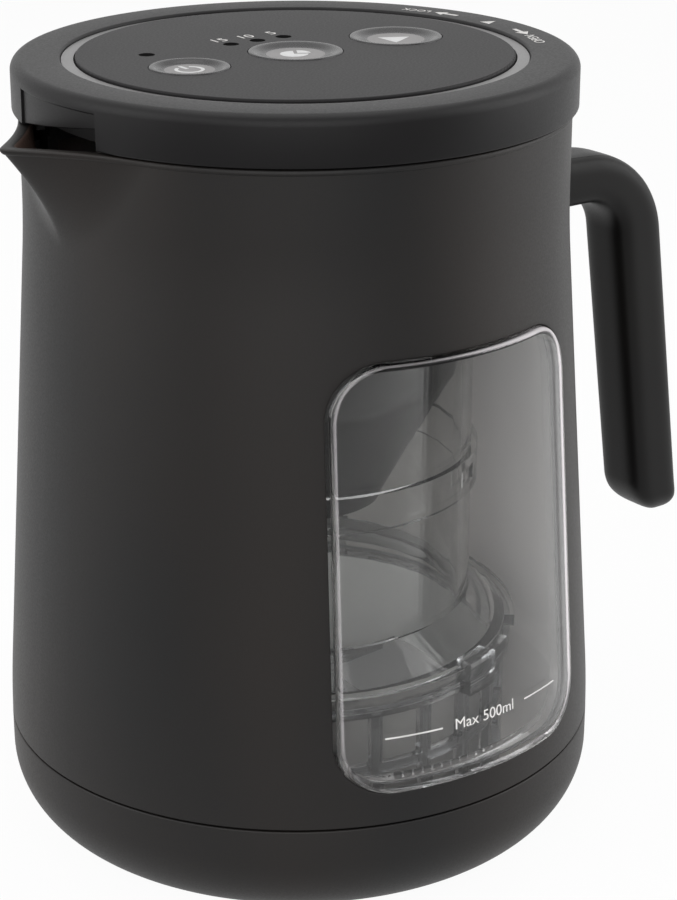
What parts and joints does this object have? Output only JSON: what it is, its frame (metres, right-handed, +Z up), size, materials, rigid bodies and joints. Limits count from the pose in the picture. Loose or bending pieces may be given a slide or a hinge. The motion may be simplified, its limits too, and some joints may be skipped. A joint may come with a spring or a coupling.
{
  "type": "portable coffee maker",
  "caption": "Tapered coffee jug with a window, spout and open handle, under a twist-lock powered lid whose motor stirs grounds in a column over a filter basket.",
  "frame": {"origin": "centre of the underside of the foot pad, on the jug's axis", "axes": "+Z up along the jug's axis, +X towards the handle, -X towards the spout, -Y towards the window"},
  "size_m": [0.1913, 0.138, 0.1812],
  "materials": {
    "jug_plastic": "fine satin moulded",
    "clear_plastic": "polished clear",
    "soft_rubber": "matte",
    "screw_steel": "zinc plated",
    "handle_plastic": "fine satin moulded",
    "lid_plastic": "fine satin moulded",
    "panel_plastic": "fine satin moulded",
    "button_plastic": "silver-grey satin",
    "lens_plastic": "smoked",
    "board_laminate": "solder mask",
    "switch_plastic": "moulded",
    "plated_steel": "bright",
    "battery_wrap": "shrink wrap",
    "bush_brass": "turned",
    "stirrer_plastic": "moulded",
    "basket_plastic": "smoked moulded",
    "mesh_steel": "etched mesh"
  },
  "bodies": {
    "jug": {"jug_body": "jug_plastic", "window_panel": "clear_plastic", "window_seal": "soft_rubber", "base_cover": "jug_plastic", "base_pad": "soft_rubber", "base_screws": "screw_steel", "handle_grip": "handle_plastic", "handle_cover": "handle_plastic", "handle_screw": "screw_steel", "handle_plug": "soft_rubber"},
    "brew_column": {"brew_cylinder": "clear_plastic"},
    "lid": {"lid_ring": "lid_plastic", "control_panel": "panel_plastic", "lid_tray": "lid_plastic", "lid_seal": "soft_rubber", "lid_screws": "screw_steel", "indicator_lenses": "lens_plastic", "control_board": "board_laminate", "board_screws": "screw_steel", "tact_switches": "switch_plastic", "indicator_leds": "switch_plastic", "charging_socket": "plated_steel", "housing_gasket": "soft_rubber", "motor_housing": "lid_plastic", "housing_screws": "screw_steel", "motor_mount": "lid_plastic", "motor_can": "plated_steel", "motor_screws": "screw_steel", "battery_cell": "battery_wrap", "battery_bracket": "lid_plastic", "shaft_bush": "bush_brass", "shaft_seal": "soft_rubber"},
    "power_button": {"power_button": "button_plastic"},
    "timer_button": {"timer_button": "button_plastic"},
    "start_button": {"start_button": "button_plastic"},
    "charging_flap": {"charging_flap": "soft_rubber"},
    "rotor": {"motor_shaft": "plated_steel", "shaft_coupler": "bush_brass", "drive_shaft": "plated_steel", "stirrer": "stirrer_plastic", "stirrer_nut": "plated_steel"},
    "filter_basket": {"filter_basket": "basket_plastic", "filter_mesh": "mesh_steel", "basket_seal": "soft_rubber"}
  },
  "joints": [
    {"name": "column_lift", "type": "slide", "parent": "jug", "child": "brew_column", "axis": [0, 0, 1], "range_m": [0, 0.165]},
    {"name": "lid_twist", "type": "hinge", "parent": "brew_column", "child": "lid", "pos_m": [0, 0, 0.17], "axis": [0, 0, 1], "range_deg": [-24, 24]},
    {"name": "power_press", "type": "slide", "parent": "lid", "child": "power_button", "axis": [0, 0, -1], "range_m": [0, 0.0006], "stiffness_N_per_m": 500},
    {"name": "timer_press", "type": "slide", "parent": "lid", "child": "timer_button", "axis": [0, 0, -1], "range_m": [0, 0.0006], "stiffness_N_per_m": 500},
    {"name": "start_press", "type": "slide", "parent": "lid", "child": "start_button", "axis": [0, 0, -1], "range_m": [0, 0.0006], "stiffness_N_per_m": 500},
    {"name": "flap_open", "type": "hinge", "parent": "lid", "child": "charging_flap", "pos_m": [-0.00777, 0.06151, 0.175], "axis": [0, 0, 1], "range_deg": [0, 110]},
    {"name": "stirrer_spin", "type": "hinge", "parent": "lid", "child": "rotor", "pos_m": [0, 0, 0.028], "axis": [0, 0, 1], "continuous": true},
    {"name": "basket_twist", "type": "hinge", "parent": "brew_column", "child": "filter_basket", "pos_m": [0, 0, 0.0445], "axis": [0, 0, 1], "range_deg": [0, 25]}
  ]
}
